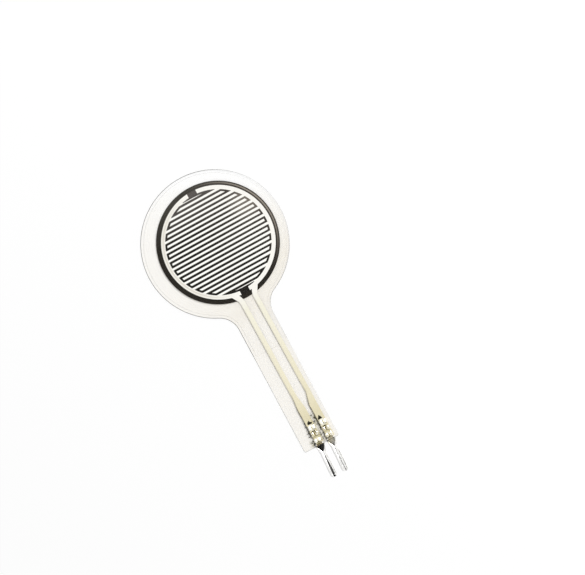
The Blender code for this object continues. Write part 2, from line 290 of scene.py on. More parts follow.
# %% Make, place and wear
def new_group(name, outputs):
    tree = bpy.data.node_groups.new(name, "ShaderNodeTree")
    for label in outputs:
        tree.interface.new_socket(name=label, in_out="OUTPUT", socket_type="NodeSocketFloat")
    return tree, tree.nodes.new("NodeGroupOutput").inputs


def group_inputs(tree, inputs):
    for label, value in inputs.items():
        socket = tree.interface.new_socket(name=label, in_out="INPUT", socket_type="NodeSocketFloat")
        socket.default_value = value
    return tree.nodes.new("NodeGroupInput").outputs


def place_group(tree, group, **inputs):
    node = tree.nodes.new("ShaderNodeGroup")
    node.node_tree = group
    for label, value in inputs.items():
        plug(tree, node.inputs[label], value)
    return node.outputs


def dress(node_name, material):
    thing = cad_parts[node_name]
    thing.data.materials.clear()
    thing.data.materials.append(material)
    print(node_name, "wears", material.name)


print("helpers ready for groups")

# %% [markdown]
# ## Cut edges
#
# A sheet of clear film can hardly be seen, but its cut edge can: the edge sends
# light sideways and looks like a fine grey line. A mask picks out the walls of
# a sheet from the direction its surface faces. Walls get a dense material and
# the broad faces a thin one, so the outline draws itself. A wall that is turned
# to the lamp is filled with light, so its line is fainter. So is the line round
# the lower half of the tail, where no adhesive and liner thicken the edge, and
# the bright floor halves the line of walls that face the lower right.

# %% Group: walls and broad faces of a sheet
FLAT_LIMIT = 0.95
LIT_SHADE = 0.2
THIN_SHADE = 0.45
GLOW_SHADE = 0.5
LIT_TURN = (0.97, 0.55)
FLOOR_GLOW_SIDE = math.radians(-45.0)
LINER_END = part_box("release_liner")[0].y
LINER_FADE = 1.0 * MM

walls, ends = new_group("sheet_walls", ("Wall", "Broad", "Shade"))
facing = add_node(walls, "TexCoord").outputs["Normal"]
flatness = math_node(walls, "ABSOLUTE", axes(walls, facing)["Z"])
plug(walls, ends["Wall"], math_node(walls, "LESS_THAN", flatness, FLAT_LIMIT))
plug(walls, ends["Broad"], math_node(walls, "GREATER_THAN", flatness, FLAT_LIMIT))
heading = vector_node(walls, "MULTIPLY", facing, (1.0, 1.0, 0.0))["Vector"]
heading = vector_node(walls, "NORMALIZE", heading)["Vector"]
to_lamp = vector_node(walls, "DOT_PRODUCT", heading, level_direction(LAMP_SIDE))["Value"]
to_floor = vector_node(walls, "DOT_PRODUCT", heading, level_direction(FLOOR_GLOW_SIDE))["Value"]
glow = math_node(walls, "POWER", math_node(walls, "MAXIMUM", to_floor, 0.0), 2.0)
along = axes(walls, object_spot(walls))["Y"]
thick = fade(walls, along, LINER_END - LINER_FADE, LINER_END + LINER_FADE, low=THIN_SHADE)
shade = product(walls, fade(walls, to_lamp, *LIT_TURN, low=LIT_SHADE), thick)
plug(walls, ends["Shade"], product(walls, shade, fade(walls, glow, 0.0, 1.0, 1.0, GLOW_SHADE)))
print(walls.name, "has", len(walls.nodes), "nodes")

# %% [markdown]
# ## Marks on film
#
# Handled film is never perfectly clean. Soft clouds of haze and a few long
# hair scratches change how much of it can be seen. Both come from noise, one
# of them stretched, and are shared by all the clear layers.

# %% Group: haze and hair scratches
CLOUD_SCALE = 140.0
DUST_SCALE = 2600.0
DUST_SHARE = 0.02
HAIR_STRETCH = (3200.0, 60.0, 1.0)
HAIR_LIMITS = (0.66, 0.72)

marks, ends = new_group("film_marks", ("Haze", "Height"))
starts = group_inputs(marks, {"Clouds": 0.3, "Scratches": 0.3, "Turn": 0.4})
spot = object_spot(marks)
cloud = noise(marks, spot, CLOUD_SCALE, detail=3.0, roughness=0.55)
dust = product(marks, noise(marks, spot, DUST_SCALE, detail=2.0), DUST_SHARE)
turned = add_node(marks, "VectorRotate", {"rotation_type": "Z_AXIS"}, Vector=spot, Angle=starts["Turn"])
drawn = add_node(marks, "Mapping", {"vector_type": "POINT"}, Vector=turned.outputs[0], Scale=HAIR_STRETCH)
hair = fade(marks, noise(marks, drawn.outputs[0], 1.0, detail=2.0), *HAIR_LIMITS)
hair = product(marks, hair, starts["Scratches"])
soft = product(marks, minus(marks, cloud, 0.5), starts["Clouds"])
plug(marks, ends["Haze"], total(marks, soft, hair, dust))
plug(marks, ends["Height"], total(marks, cloud, hair))
print(marks.name, "has", len(marks.nodes), "nodes")

# %% [markdown]
# ## Flux and painted shade round the contacts
#
# Where the tines were driven through the film, black torn ink and brown flux
# lie between them. Beside them lie painted shadows of the tines and leads, a
# painted dark reflection on the left neck and painted highlights where the tin
# shines. One group colours the pads, the top film and the tin, so a mark runs on
# from one to the other. The smudges, shadows and highlights are soft ellipses.
# The place of each is bent by noise, which makes the outline ragged, and drifts a
# little to the left towards the tabs, as the contacts do.

# %% Group: flux stains and painted shade, soft ellipses at bent places
TORN_SCALE = 2600.0
TORN_BEND = 0.8 * MM
DRIFT_FROM = -40.6 * MM
DRIFT = 0.025

stains_and_shade, ends = new_group("flux_stains_and_painted_shade", ("Dark", "Olive", "Glare_And_Satin"))
spot = object_spot(stains_and_shade)
torn = add_node(stains_and_shade, "TexNoise", Vector=spot, Scale=TORN_SCALE, Detail=3.0, Roughness=0.7)
bend = vector_node(stains_and_shade, "SUBTRACT", torn.outputs["Color"], (0.5, 0.5, 0.5))["Vector"]
bend = add_node(stains_and_shade, "VectorMath", {"operation": "SCALE"}, i0=bend, Scale=TORN_BEND).outputs["Vector"]
bent = axes(stains_and_shade, vector_node(stains_and_shade, "ADD", spot, bend)["Vector"])
level = axes(stains_and_shade, spot)["Y"]
across = minus(stains_and_shade, bent["X"], product(stains_and_shade, minus(stains_and_shade, level, DRIFT_FROM), DRIFT))


def soft_ellipse(x, y, half_width, half_height, soft):
    wide = math_node(stains_and_shade, "DIVIDE", minus(stains_and_shade, across, x * MM), half_width * MM)
    high = math_node(stains_and_shade, "DIVIDE", minus(stains_and_shade, bent["Y"], y * MM), half_height * MM)
    off = add_node(stains_and_shade, "CombineXYZ", X=wide, Y=high).outputs[0]
    return fade(stains_and_shade, vector_node(stains_and_shade, "LENGTH", off)["Value"], 1.0 + soft, 1.0 - soft)


def strongest(values):
    best = 0.0
    for value in values:
        best = math_node(stains_and_shade, "MAXIMUM", best, value)
    return best


print("smudges bend by up to", round(TORN_BEND / 2 / MM, 2), "mm")

# %% [markdown]
# ## Gables and lines of painted shadow
#
# A dark patch shaped like a small gable sits above each contact, and a ragged
# line with one break runs down the left side of each. Both are painted shadow:
# the gable is the shadow in the gap between the tines, and the line the shadow
# along the left of the lead and contact. The gable gets wider from its top down
# to its eaves, and is cut off flat below them.

# %% Painted shadows beside the contacts: gables and lines
GABLE_ROOF = (-40.1 * MM, -40.75 * MM)
GABLE_ENDS = (-41.0 * MM, -40.0 * MM, 0.03 * MM)
GABLE_HALF = 0.46 * MM
GABLE_SOFT = 0.06 * MM
LINE_ENDS = (-46.0 * MM, -39.8 * MM, 0.5 * MM)
LINE_HALF = 0.1 * MM
LINE_SOFT = 0.04 * MM
BREAK_HALF = 0.22 * MM
BREAK_SOFT = 0.08 * MM
LEFT_MARKS = {"gable_x": -0.25 * MM, "line_x": -1.24 * MM, "break_y": -43.85 * MM}
RIGHT_MARKS = {"gable_x": 2.08 * MM, "line_x": 1.35 * MM, "break_y": -43.3 * MM}


def gable_and_line(gable_x, line_x, break_y):
    half = product(stains_and_shade, fade(stains_and_shade, level, *GABLE_ROOF), GABLE_HALF)
    gable = fade(stains_and_shade, minus(stains_and_shade, half, away_from(stains_and_shade, across, gable_x)), 0.0, GABLE_SOFT)
    gable = product(stains_and_shade, gable, band(stains_and_shade, level, *GABLE_ENDS))
    line = band(stains_and_shade, across, line_x - LINE_HALF, line_x + LINE_HALF, LINE_SOFT)
    line = product(stains_and_shade, line, band(stains_and_shade, level, *LINE_ENDS))
    gap = band(stains_and_shade, level, break_y - BREAK_HALF, break_y + BREAK_HALF, BREAK_SOFT)
    return gable, product(stains_and_shade, line, minus(stains_and_shade, 1.0, gap))


gables_and_lines = (*gable_and_line(**LEFT_MARKS), *gable_and_line(**RIGHT_MARKS))
print(len(gables_and_lines), "gables and lines")

# %% [markdown]
# ## Smudges, painted shadows and highlights
#
# Each smudge is a place and two half sizes, chosen from the photograph.
# Olive ones are wide and blotchy, dark ones small, and the dark ones are partly
# torn ink and partly painted shadow. Under the first and third tines the pads get
# a painted highlight instead, and the neck of the left contact is painted black
# in the shape of a small shield, a painted dark reflection.

# %% Dark, olive and glare ellipses: x, y, half width and half height in mm
DARK_SMUDGES_AND_SHADOWS = (
    (-0.3, -42.5, 0.36, 0.1), (0.02, -42.8, 0.08, 0.2), (-1.4, -42.45, 0.4, 0.12),
    (-1.57, -43.2, 0.14, 0.17), (-1.2, -43.1, 0.18, 0.28), (-1.6, -44.5, 0.14, 0.15),
    (-1.25, -44.3, 0.16, 0.11), (-1.05, -44.95, 0.13, 0.38), (-1.35, -45.1, 0.1, 0.2),
    (-0.5, -44.95, 0.26, 0.08), (2.1, -42.6, 0.38, 0.11), (2.3, -42.95, 0.18, 0.09),
    (1.7, -44.95, 0.36, 0.1), (2.2, -45.0, 0.2, 0.14), (0.8, -39.5, 0.24, 0.14),
    (1.15, -40.2, 0.16, 0.34), (0.8, -40.9, 0.16, 0.3), (1.1, -41.7, 0.2, 0.16),
    (2.25, -46.75, 0.13, 0.28), (0.87, -44.2, 0.07, 1.8),
)
OLIVE_SMUDGES = (
    (-0.25, -43.1, 0.8, 0.75), (2.1, -43.2, 0.75, 0.7), (0.85, -41.0, 0.55, 1.9),
    (-1.6, -44.7, 0.4, 0.7), (-0.35, -44.95, 0.5, 0.25), (2.0, -46.1, 0.8, 0.75),
    (0.75, -44.4, 0.3, 1.6), (2.05, -44.65, 0.7, 0.5),
)
GLARE_SPOTS = (
    (-0.25, -41.7, 0.8, 0.62), (2.15, -41.7, 0.8, 0.62),
    (-0.3, -44.35, 0.7, 0.35), (2.0, -44.25, 0.5, 0.26),
)
SHIELD = (-0.28, -45.6, 0.82, 1.2)
SHIELD_TOP = SHIELD[1] * MM
SHIELD_SOFT = 0.06
SHIELD_STRENGTH = 0.6
DARK_SOFT = 0.15
DARK_STRENGTH = 0.92
OLIVE_SOFT = 0.4
GLARE_SOFT = 0.3
BLOT_SCALE = 1300.0
BLOT_LIMITS = (0.3, 0.55)

# Dark ellipses: torn ink and painted shadow.
faint = strongest(soft_ellipse(*sizes, DARK_SOFT) for sizes in DARK_SMUDGES_AND_SHADOWS)
faint = product(stains_and_shade, faint, DARK_STRENGTH)
# The shield is a painted dark reflection on the left contact's neck.
below_top = math_node(stains_and_shade, "LESS_THAN", level, SHIELD_TOP)
shield = product(stains_and_shade, soft_ellipse(*SHIELD, SHIELD_SOFT), below_top, SHIELD_STRENGTH)
blots = fade(stains_and_shade, noise(stains_and_shade, spot, BLOT_SCALE, detail=3.0, roughness=0.6), *BLOT_LIMITS)
olive = strongest(soft_ellipse(*sizes, OLIVE_SOFT) for sizes in OLIVE_SMUDGES)
plug(stains_and_shade, ends["Dark"], strongest((*gables_and_lines, faint, shield)))
plug(stains_and_shade, ends["Olive"], product(stains_and_shade, blots, olive))
# Glare ellipses: painted highlights where the tines shine.
plug(stains_and_shade, ends["Glare_And_Satin"], strongest(soft_ellipse(*sizes, GLARE_SOFT) for sizes in GLARE_SPOTS))
print(stains_and_shade.name, "has", len(stains_and_shade.nodes), "nodes")

# %% [markdown]
# ## Clear layers
#
# True glass on film this thin would cost many bounces of light and give a
# noisy picture. Alpha does the same job: a small share of the surface shows a
# warm tint, the rest lets the floor through. At flat angles real film turns
# glossy, so a Facing term adds more of the surface there, with a paler tint.
# The tint belongs under the inks, or it would fog the black carbon. Its depth
# is painted shade: faintest at the top of the disc on the lamp's side and
# deepest where the tail begins. The edge line is for the eye only: for every
# other ray the walls are nearly clear, or they would throw a heavy shadow.

# %% A clear material
TINT_REACH = 14.0 * MM
TINT_WARP = 60.0
TAIL_TINT = (-15.0 * MM, -19.0 * MM, 1.0, 0.71)
GLANCE_POWER = 4.0
GLANCE_STRENGTH = 0.8
GLANCE_PALING = 8.0
GLANCE_TINT = (0.88, 0.88, 0.86)
EDGE_TINT = (0.08, 0.08, 0.07)
WALL_SHARE_FOR_LIGHT = 0.2
SMOOTHEST = 0.7
ROUGHEST = 1.4
MARK_BUMP = 0.02 * MM
MARK_STRENGTH = 0.15


def front_side(tree):
    return minus(tree, 1.0, add_node(tree, "NewGeometry").outputs["Backfacing"])


# The depth of the tint across the sheet is painted shade, deepest where the tail begins.
def tint_with_painted_shade(tree, near, far):
    place = axes(tree, object_spot(tree))
    away = total(tree, place["Y"], product(tree, place["X"], place["Y"], TINT_WARP))
    depth = fade(tree, away, TINT_REACH, -TINT_REACH, near, far)
    return product(tree, depth, fade(tree, place["Y"], *TAIL_TINT))


def clear_layer(name, tint, near, far, wall, roughness, clouds, scratches, turn):
    material, tree, shader = new_material(name)
    mask = place_group(tree, walls)
    mark = place_group(tree, marks, Clouds=clouds, Scratches=scratches, Turn=turn)
    glance = add_node(tree, "LayerWeight", Blend=0.5).outputs["Facing"]
    glance = product(tree, math_node(tree, "POWER", glance, GLANCE_POWER), GLANCE_STRENGTH)
    body = product(tree, total(tree, mark["Haze"], 1.0), tint_with_painted_shade(tree, near, far))
    broad = product(tree, total(tree, body, glance), front_side(tree))
    eye = add_node(tree, "LightPath").outputs["Is Camera Ray"]
    side = product(tree, mask["Shade"], fade(tree, eye, 0.0, 1.0, WALL_SHARE_FOR_LIGHT * wall, wall))
    alpha = mix_values(tree, mask["Wall"], broad, side)
    pale = math_node(tree, "MULTIPLY", glance, GLANCE_PALING, clamp=True)
    face = mix_colors(tree, pale, tint, GLANCE_TINT)
    color = mix_colors(tree, mask["Wall"], face, EDGE_TINT)
    rough = fade(tree, mark["Height"], 0.0, 1.0, SMOOTHEST * roughness, ROUGHEST * roughness)
    bump = add_node(tree, "Bump", Strength=MARK_STRENGTH, Distance=MARK_BUMP, Height=mark["Height"])
    plug(tree, shader.inputs["Alpha"], alpha)
    plug(tree, shader.inputs["Base Color"], color)
    plug(tree, shader.inputs["Roughness"], rough)
    plug(tree, shader.inputs["Normal"], bump.outputs[0])
    print(name, "has a tint of", far, "and an edge of", wall)
    return material, alpha, color


# %% [markdown]
# ## Film, adhesive and liner
#
# Only the carrier film carries much tint. Near and far are the share of tint
# at the top of the disc and where the tail begins, and wall is how dense the
# edge line gets. The spacer's edge isn't seen at all, because it lies between
# two films that end in the same place.

# %% The four layers under the top film
liner = clear_layer(
    "release_liner_clear", tint=(0.9, 0.86, 0.6), near=0.003, far=0.005, wall=0.17,
    roughness=0.35, clouds=0.2, scratches=0.0, turn=0.9,
)[0]
adhesive = clear_layer(
    "rear_adhesive_clear", tint=(0.9, 0.8, 0.5), near=0.003, far=0.008, wall=0.17,
    roughness=0.3, clouds=0.2, scratches=0.0, turn=2.0,
)[0]
carrier = clear_layer(
    "carrier_film_clear", tint=(0.75, 0.58, 0.26), near=0.0, far=0.152, wall=0.5,
    roughness=0.12, clouds=0.15, scratches=0.0, turn=1.3,
)[0]
spacer = clear_layer(
    "spacer_adhesive_clear", tint=(0.9, 0.86, 0.6), near=0.0, far=0.004, wall=0.0,
    roughness=0.3, clouds=0.2, scratches=0.0, turn=0.0,
)[0]

# %% [markdown]
# ## The top film, its stains and painted shadows
#
# The top film is the one that is touched, so it has the hair scratches. The
# flux lies on it round the contacts, and so do painted shadows and a painted dark
# reflection: where there is a mark, the film is no longer clear, so the mark adds
# to alpha as well as to the colour.

# %% Top film with flux and painted shadows
FILM_OLIVE = 0.4
FILM_DARK = 0.9
OLIVE_START = 0.004
OLIVE_FLUX = (0.4, 0.36, 0.17)
TORN_INK_AND_SHADOW = (0.012, 0.012, 0.008)

film, alpha, color = clear_layer(
    "electrode_film_clear", tint=(0.8, 0.78, 0.7), near=0.004, far=0.004, wall=0.95,
    roughness=0.12, clouds=0.3, scratches=0.5, turn=0.4,
)
tree = film.node_tree
shader = tree.nodes["Principled BSDF"]
flux = place_group(tree, stains_and_shade)
on_top = product(tree, front_side(tree), place_group(tree, walls)["Broad"])
# Dark marks are torn ink and painted shadow; olive marks are flux.
dark = product(tree, flux["Dark"], on_top)
olive = product(tree, flux["Olive"], on_top, FILM_OLIVE)
stain_and_shade = math_node(tree, "MAXIMUM", product(tree, dark, FILM_DARK), olive)
color = mix_colors(tree, math_node(tree, "GREATER_THAN", olive, OLIVE_START), color, OLIVE_FLUX)
plug(tree, shader.inputs["Alpha"], math_node(tree, "MAXIMUM", alpha, stain_and_shade))
plug(tree, shader.inputs["Base Color"], mix_colors(tree, dark, color, TORN_INK_AND_SHADOW))

# %% [markdown]
# ## A hair of clearance
#
# In the model each layer lies face to face on the next. A renderer can't tell
# two faces in one place apart and shows blotches. So each clear layer is shown
# by a copy that is a few thousandths of a millimetre thinner. The die that
# cuts film also rolls its edge a little, so the copy's outline gets a bevel.
# The small holes for the tines are left out: a bevel there would overlap. The
# window that holds them reaches a little past the contacts, and stops just
# short of the tail's end, which keeps its rolled edge.

# %% Clear layers with rolled edges
CLEARANCE = 0.003 * MM
ROLLED_EDGE = 0.1 * MM
ROLLED_SHARE = 0.8
SAME_CORNER = 0.0005 * MM
SHARP_ANGLE = math.radians(60.0)
PAST_CONTACTS = 0.6 * MM
SHORT_OF_END = 0.15 * MM
HOLES_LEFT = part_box("contact_left")[0].x - PAST_CONTACTS
HOLES_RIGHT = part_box("contact_right")[1].x + PAST_CONTACTS
HOLES_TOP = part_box("contact_left")[1].y + PAST_CONTACTS
HOLES_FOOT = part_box("electrode_film")[0].y + SHORT_OF_END


def by_hole(corner):
    return HOLES_LEFT < corner.co.x < HOLES_RIGHT and HOLES_FOOT < corner.co.y < HOLES_TOP


def is_outline(edge):
    is_sharp = edge.is_manifold and edge.calc_face_angle() > SHARP_ANGLE
    return is_sharp and not all(by_hole(corner) for corner in edge.verts)


def clear_piece(node_name, piece_name, material):
    low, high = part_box(node_name)
    middle = (low.z + high.z) / 2
    shape = bmesh.new()
    shape.from_mesh(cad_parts[node_name].data)
    bmesh.ops.remove_doubles(shape, verts=shape.verts, dist=SAME_CORNER)
    upper = [corner for corner in shape.verts if corner.co.z > middle]
    lower = [corner for corner in shape.verts if corner.co.z <= middle]
    bmesh.ops.translate(shape, vec=(0.0, 0.0, -CLEARANCE), verts=upper)
    bmesh.ops.translate(shape, vec=(0.0, 0.0, CLEARANCE), verts=lower)
    rim = [
        edge for edge in shape.edges
        if is_outline(edge) and min(corner.co.z for corner in edge.verts) > middle
    ]
    offset = min(ROLLED_EDGE, (high.z - low.z) * ROLLED_SHARE)
    bmesh.ops.bevel(
        shape, geom=rim, offset=offset, segments=2, profile=0.5, affect="EDGES", material=-1,
        clamp_overlap=False,
    )
    piece = thing_from(shape, piece_name)
    piece.data.materials.append(material)
    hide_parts(node_name)
    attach(piece, "root")
    print(piece_name, "has", len(piece.data.polygons), "faces and a rolled edge on", len(rim), "edges")


clear_piece("release_liner", "release_liner_sheet", liner)
clear_piece("rear_adhesive", "rear_adhesive_sheet", adhesive)
clear_piece("carrier_film", "carrier_film_sheet", carrier)
clear_piece("spacer_adhesive", "spacer_adhesive_ring", spacer)
clear_piece("electrode_film", "electrode_film_sheet", film)

# %% [markdown]
# ## Silver ink: leads and pads
#
# Screen-printed silver looks matt and creamy under film. It is brightest on
# the combs and yellower on the leads, most of all on the pads. The print sits a
# little off and turned from the cut outline, so its pattern is turned with a
# Mapping node too. Near the tines the pads get a painted highlight.

# %% Silver leads
PRINT_SHIFT = (0.76 * MM, -0.02 * MM, 0.0)
PRINT_TURN = (0.0, 0.0, math.radians(0.55))
GRAIN_SCALE = 1500.0
WASH_SCALE = 180.0
FRESH_INK = ((0.88, 0.85, 0.7), (0.94, 0.91, 0.77))
AGED_INK = ((0.79, 0.72, 0.49), (0.86, 0.79, 0.57))
PAD_INK = (0.7, 0.64, 0.42)
PAINTED_GLARE_INK = (0.98, 0.965, 0.87)
LEAD_TOP = -15.0 * MM
LEAD_FOOT = -41.0 * MM
PAD_BLEND = (-35.5 * MM, -39.0 * MM, 0.0, 0.5)

silver, tree, shader = new_material("silver_ink_print")
printed = add_node(
    tree, "Mapping", {"vector_type": "TEXTURE"},
    Vector=object_spot(tree), Location=PRINT_SHIFT, Rotation=PRINT_TURN,
).outputs[0]
place = axes(tree, printed)
grain = noise(tree, printed, GRAIN_SCALE, detail=4.0, roughness=0.6)
wash = noise(tree, printed, WASH_SCALE, detail=2.0)
age = fade(tree, place["Y"], LEAD_TOP, LEAD_FOOT)
leads = mix_colors(tree, age, mix_colors(tree, wash, *FRESH_INK), mix_colors(tree, wash, *AGED_INK))
leads = mix_colors(tree, fade(tree, place["Y"], *PAD_BLEND), leads, PAD_INK)
# Painted highlight on the pads near the tines.
leads = mix_colors(tree, place_group(tree, stains_and_shade)["Glare_And_Satin"], leads, PAINTED_GLARE_INK)
print("leads turn from fresh to aged ink over", round((LEAD_TOP - LEAD_FOOT) / MM), "mm")

# %% [markdown]
# ## Flux and painted shadow along the pads
#
# A dark line runs along the left edge of each lead and pad. Along the leads it
# is a faint painted shadow, and towards the contacts it grows into flux and
# painted shadow together. The edge is worked out from the place where each lead
# runs and the place where its pad starts, and the distance from it gives the
# line. Grain makes the line uneven.

# %% Stained and shaded left edges
LEFT_EDGE = (-2.04 * MM, -2.34 * MM)
RIGHT_EDGE = (0.93 * MM, 0.2 * MM)
LEAD_TO_PAD = (-34.8 * MM, -37.4 * MM)
FLUX_AND_SHADOW_WIDTH = (0.34 * MM, 0.16 * MM)
FLUX_AND_SHADOW_RAGGED = 0.2 * MM
FLUX_AND_SHADOW_GROWS = (-33.0 * MM, -38.0 * MM, 0.15, 1.0)
FLUX_AND_SHADOW_INK = (0.05, 0.045, 0.03)

towards_pad = fade(tree, place["Y"], *LEAD_TO_PAD)
edges = [fade(tree, towards_pad, 0.0, 1.0, *places) for places in (LEFT_EDGE, RIGHT_EDGE)]
edge = mix_values(tree, math_node(tree, "GREATER_THAN", place["X"], 0.0), *edges)
inset = total(tree, minus(tree, place["X"], edge), product(tree, grain, FLUX_AND_SHADOW_RAGGED))
near_end = fade(tree, place["Y"], *FLUX_AND_SHADOW_GROWS)
# Painted shadow along the left edges, with flux near the contacts.
leads = mix_colors(tree, product(tree, fade(tree, inset, *FLUX_AND_SHADOW_WIDTH), near_end), leads, FLUX_AND_SHADOW_INK)
print("stains are up to", round(FLUX_AND_SHADOW_WIDTH[0] / MM, 2), "mm wide")

# %% [markdown]
# ## Silver ink: combs
#
# The fingers are the brightest silver, and the half rings round them a shade
# darker. The left half ring has a faint beige line. The long edges of the
# fingers are painted darker, a painted shade that makes the black gaps look
# wider, and it fades out towards the lamp's side.

# %% Silver combs
FINGER_PITCH = 0.9 * MM
GAP_HALF = 0.21 * MM
SHADED_EDGE = (GAP_HALF + 0.05 * MM, GAP_HALF + 0.02 * MM)
LAMP_FADE = (7.0 * MM, 0.0)
FINGER_REACH = (10.7 * MM, 10.5 * MM)
RIM_START = (10.6 * MM, 10.8 * MM)
RIM_SIDE = (-2.0 * MM, -8.0 * MM)
BEIGE_LINE_RADIUS = 11.1 * MM
BEIGE_LINE_WIDTH = (0.16 * MM, 0.05 * MM, 0.45, 1.0)
RING_INK = ((0.93, 0.91, 0.85), (0.97, 0.955, 0.91))
FINGER_INK = ((0.96, 0.945, 0.89), (1.0, 0.99, 0.95))
BEIGE_LINE_INK = (0.75, 0.71, 0.63)
EDGE_SHADE_INK = (0.2, 0.18, 0.15)

radius = vector_node(tree, "LENGTH", printed)["Value"]
inner = fade(tree, radius, *FINGER_REACH)
combs = mix_colors(tree, inner, mix_colors(tree, grain, *RING_INK), mix_colors(tree, grain, *FINGER_INK))
rim = product(tree, fade(tree, radius, *RIM_START), fade(tree, place["X"], *RIM_SIDE))
beige_line = fade(tree, away_from(tree, radius, BEIGE_LINE_RADIUS), *BEIGE_LINE_WIDTH)
combs = mix_colors(tree, product(tree, rim, beige_line), combs, BEIGE_LINE_INK)
# Painted shade: the long edges of the fingers are darker, less so towards the lamp.
off_gap = math_node(tree, "PINGPONG", place["Y"], FINGER_PITCH / 2)
edge_shade = product(tree, fade(tree, off_gap, *SHADED_EDGE), fade(tree, place["X"], *LAMP_FADE))
combs = mix_colors(tree, product(tree, inner, edge_shade), combs, EDGE_SHADE_INK)
print("one finger or gap every", round(FINGER_PITCH / 2 / MM, 2), "mm")

# %% [markdown]
# ## A matt printed surface
#
# Silver and carbon are both screen printed, so both get their dullness and
# their fine bumps from the grain of the ink.

# %% Surface of printed ink
LEADS_TO_COMBS = (-15.0 * MM, -11.5 * MM)
INK_ROUGHNESS = (0.45, 0.7)
INK_BUMP = 0.01 * MM
SILVER_BUMP_STRENGTH = 0.2


def print_surface(tree, shader, grain, strength):
    bump = add_node(tree, "Bump", Strength=strength, Distance=INK_BUMP, Height=grain)
    plug(tree, shader.inputs["Roughness"], fade(tree, grain, 0.0, 1.0, *INK_ROUGHNESS))
    plug(tree, shader.inputs["Normal"], bump.outputs[0])


print_surface(tree, shader, grain, SILVER_BUMP_STRENGTH)
is_comb = fade(tree, place["Y"], *LEADS_TO_COMBS)
plug(tree, shader.inputs["Base Color"], mix_colors(tree, is_comb, leads, combs))
dress("silver_electrode_left", silver)
dress("silver_electrode_right", silver)

# %% [markdown]
# ## Carbon ink
#
# The resistive layer is a satin black print, and its fine grain breaks up the
# shine. Inside the half rings, between the fingers, it is blackest. Towards the
# top of the disc it turns grey, and there the inside is the palest part: this
# grey is a painted reflection of glare on the film.

# %% Black and grey carbon
CARBON_LOW, CARBON_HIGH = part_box("carbon_ink_disc")
CARBON_MIDDLE = (CARBON_LOW + CARBON_HIGH) / 2
CARBON_GRAIN_SCALE = 2200.0
CARBON_CLOUD_SCALE = 260.0
UNDER_RINGS = (11.7 * MM, 11.4 * MM)
GREY_GLARE_SIDE = (4.0 * MM, 11.0 * MM)
BLACK_INK = ((0.008, 0.006, 0.003), (0.014, 0.011, 0.007))
DEEP_BLACK_INK = ((0.003, 0.002, 0.001), (0.006, 0.005, 0.003))
GREY_GLARE_INK = ((0.036, 0.033, 0.027), (0.053, 0.049, 0.041))
PALE_GLARE_INK = ((0.09, 0.079, 0.072), (0.112, 0.1, 0.092))

carbon, tree, shader = new_material("carbon_ink_print")
spot = object_spot(tree)
grain = noise(tree, spot, CARBON_GRAIN_SCALE, detail=4.0, roughness=0.65)
cloud = noise(tree, spot, CARBON_CLOUD_SCALE, detail=2.0)


def distance_to(x, y):
    return vector_node(tree, "DISTANCE", spot, (x, y, CARBON_HIGH.z))["Value"]


radius = distance_to(CARBON_MIDDLE.x, CARBON_MIDDLE.y)
inside = fade(tree, radius, *UNDER_RINGS)
deep_black = mix_colors(tree, grain, *DEEP_BLACK_INK)
black = mix_colors(tree, inside, mix_colors(tree, grain, *BLACK_INK), deep_black)
# Grey and pale towards the top: painted reflection of glare on the film.
pale_glare = mix_colors(tree, cloud, *PALE_GLARE_INK)
grey_glare = mix_colors(tree, inside, mix_colors(tree, cloud, *GREY_GLARE_INK), pale_glare)
body = mix_colors(tree, fade(tree, axes(tree, spot)["Y"], *GREY_GLARE_SIDE), black, grey_glare)
print("carbon is centred at", [round(value / MM, 2) for value in CARBON_MIDDLE[:2]], "mm")

# %% [markdown]
# ## Lamp light on the carbon
#
# Towards the lamp the black turns brown and greyer. There the bare ring between
# silver and spacer mirrors the lamp in one pale line, and the gaps of the comb
# nearest to the lamp have a soft glare.

# %% Sheen, pale line and glare
SHEEN_AT = (12.4 * MM, 4.3 * MM)
SHEEN_REACH = (16.0 * MM, 1.0 * MM)
GLARE_AT = (9.2 * MM, 4.6 * MM)
GLARE_REACH = (4.6 * MM, 0.8 * MM)
PALE_LINE_RADIUS = 12.06 * MM
PALE_LINE_WIDTH = (0.17 * MM, 0.08 * MM)
BROWN_INK = ((0.045, 0.038, 0.03), (0.065, 0.054, 0.043))
PALE_LINE = (0.32, 0.285, 0.24)
GLARE = (0.19, 0.165, 0.135)
CARBON_SHINE = 0.15
CARBON_BUMP_STRENGTH = 0.3

sheen = fade(tree, distance_to(*SHEEN_AT), *SHEEN_REACH, smooth=True)
glare = product(tree, fade(tree, distance_to(*GLARE_AT), *GLARE_REACH, smooth=True), inside)
line = fade(tree, away_from(tree, radius, PALE_LINE_RADIUS), *PALE_LINE_WIDTH)
brown = mix_colors(tree, line, mix_colors(tree, cloud, *BROWN_INK), PALE_LINE)
body = mix_colors(tree, sheen, body, brown)
plug(tree, shader.inputs["Base Color"], mix_colors(tree, glare, body, GLARE))
plug(tree, shader.inputs["Specular IOR Level"], CARBON_SHINE)
print_surface(tree, shader, grain, CARBON_BUMP_STRENGTH)
dress("carbon_ink_disc", carbon)

# %% [markdown]
# ## Tin plating
#
# Bright tin is a mirror with flaws: fine lines from rolling along the strip,
# a faint yellow oxide and dull flux stains in the crimp. Noise stretched along
# the contact gives the lines, and broader noise the stains. The first and third
# tines are satin, so they blur the dark card, and a painted highlight makes them
# look white. The dark marks of the flux group, torn ink, painted shadow and the
# left neck's painted dark reflection, darken the tin too.

